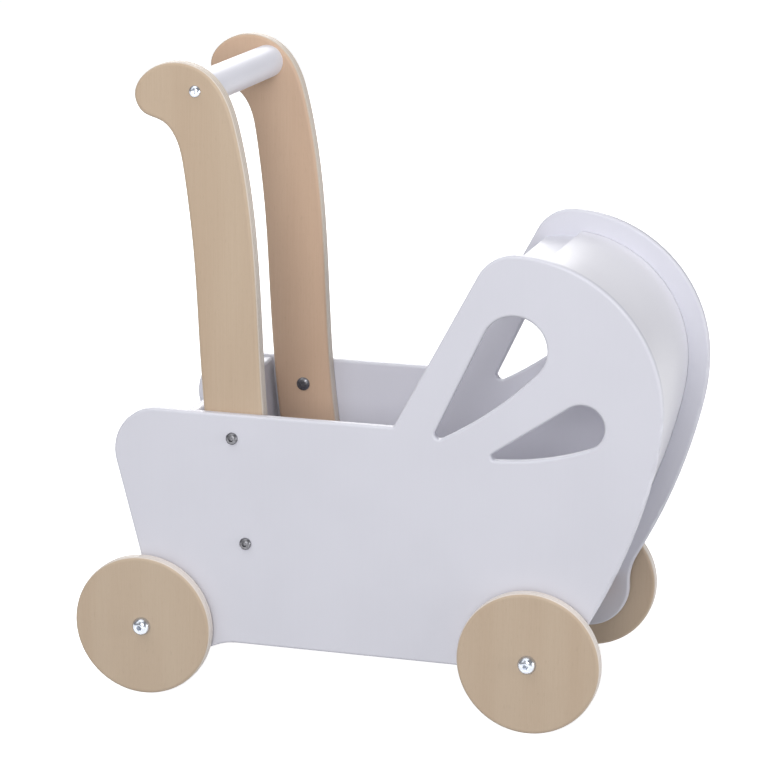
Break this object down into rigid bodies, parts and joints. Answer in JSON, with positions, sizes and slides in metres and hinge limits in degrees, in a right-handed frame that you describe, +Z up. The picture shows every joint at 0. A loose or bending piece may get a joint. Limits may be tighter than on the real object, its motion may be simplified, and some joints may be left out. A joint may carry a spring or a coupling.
{
  "type": "wooden doll pram",
  "caption": "Wooden doll pram with shaped side panels, petal cut-outs, a bent hood, a curved push handle and freely rolling wheels.",
  "frame": {"origin": "on the floor, below the middle of the overall length and width", "axes": "+X forward towards the hood, +Y to the pram's left, +Z up"},
  "size_m": [0.42, 0.2194, 0.4525],
  "materials": {
    "white_painted_ply": "white satin paint on birch plywood",
    "white_bent_ply": "white satin paint on thin bent plywood",
    "white_painted_bar": "white satin paint on a turned dowel",
    "birch_ply": "clear matt lacquer on birch plywood",
    "birch_wheel": "clear matt lacquer on birch plywood",
    "hardwood": "plain beech",
    "zinc_steel": "bright zinc plate",
    "dark_zinc_steel": "dark zinc plate",
    "nylon": "natural nylon"
  },
  "bodies": {
    "pram_frame": {"right_side_panel": "white_painted_ply", "left_side_panel": "white_painted_ply", "floor_board": "white_painted_ply", "rear_board": "white_painted_ply", "hood_shell": "white_bent_ply", "hood_mouth_rail": "white_painted_ply", "right_handle_arm": "birch_ply", "left_handle_arm": "birch_ply", "handle_bar": "white_painted_bar", "rear_axle_beam": "hardwood", "front_axle_beam": "hardwood", "axle_bolts": "zinc_steel", "axle_spacers": "nylon", "axle_barrel_nuts": "zinc_steel", "arm_bolts": "zinc_steel", "arm_sleeve_nuts": "dark_zinc_steel", "handle_bar_screws": "zinc_steel", "floor_board_screws": "zinc_steel", "floor_board_dowels": "hardwood", "rear_board_dowels": "hardwood", "mouth_rail_dowels": "hardwood", "axle_beam_dowels": "hardwood"},
    "front_left_wheel_body": {"front_left_wheel": "birch_wheel", "front_left_wheel_bush": "nylon"},
    "front_right_wheel_body": {"front_right_wheel": "birch_wheel", "front_right_wheel_bush": "nylon"},
    "rear_left_wheel_body": {"rear_left_wheel": "birch_wheel", "rear_left_wheel_bush": "nylon"},
    "rear_right_wheel_body": {"rear_right_wheel": "birch_wheel", "rear_right_wheel_bush": "nylon"}
  },
  "joints": [
    {"name": "front_left_wheel_spin", "type": "hinge", "parent": "pram_frame", "child": "front_left_wheel_body", "pos_m": [0.1228, 0.0989, 0.0508], "axis": [0, 1, 0], "continuous": true},
    {"name": "front_right_wheel_spin", "type": "hinge", "parent": "pram_frame", "child": "front_right_wheel_body", "pos_m": [0.1228, -0.0989, 0.0508], "axis": [0, 1, 0], "continuous": true},
    {"name": "rear_left_wheel_spin", "type": "hinge", "parent": "pram_frame", "child": "rear_left_wheel_body", "pos_m": [-0.1592, 0.0989, 0.0508], "axis": [0, 1, 0], "continuous": true},
    {"name": "rear_right_wheel_spin", "type": "hinge", "parent": "pram_frame", "child": "rear_right_wheel_body", "pos_m": [-0.1592, -0.0989, 0.0508], "axis": [0, 1, 0], "continuous": true}
  ]
}
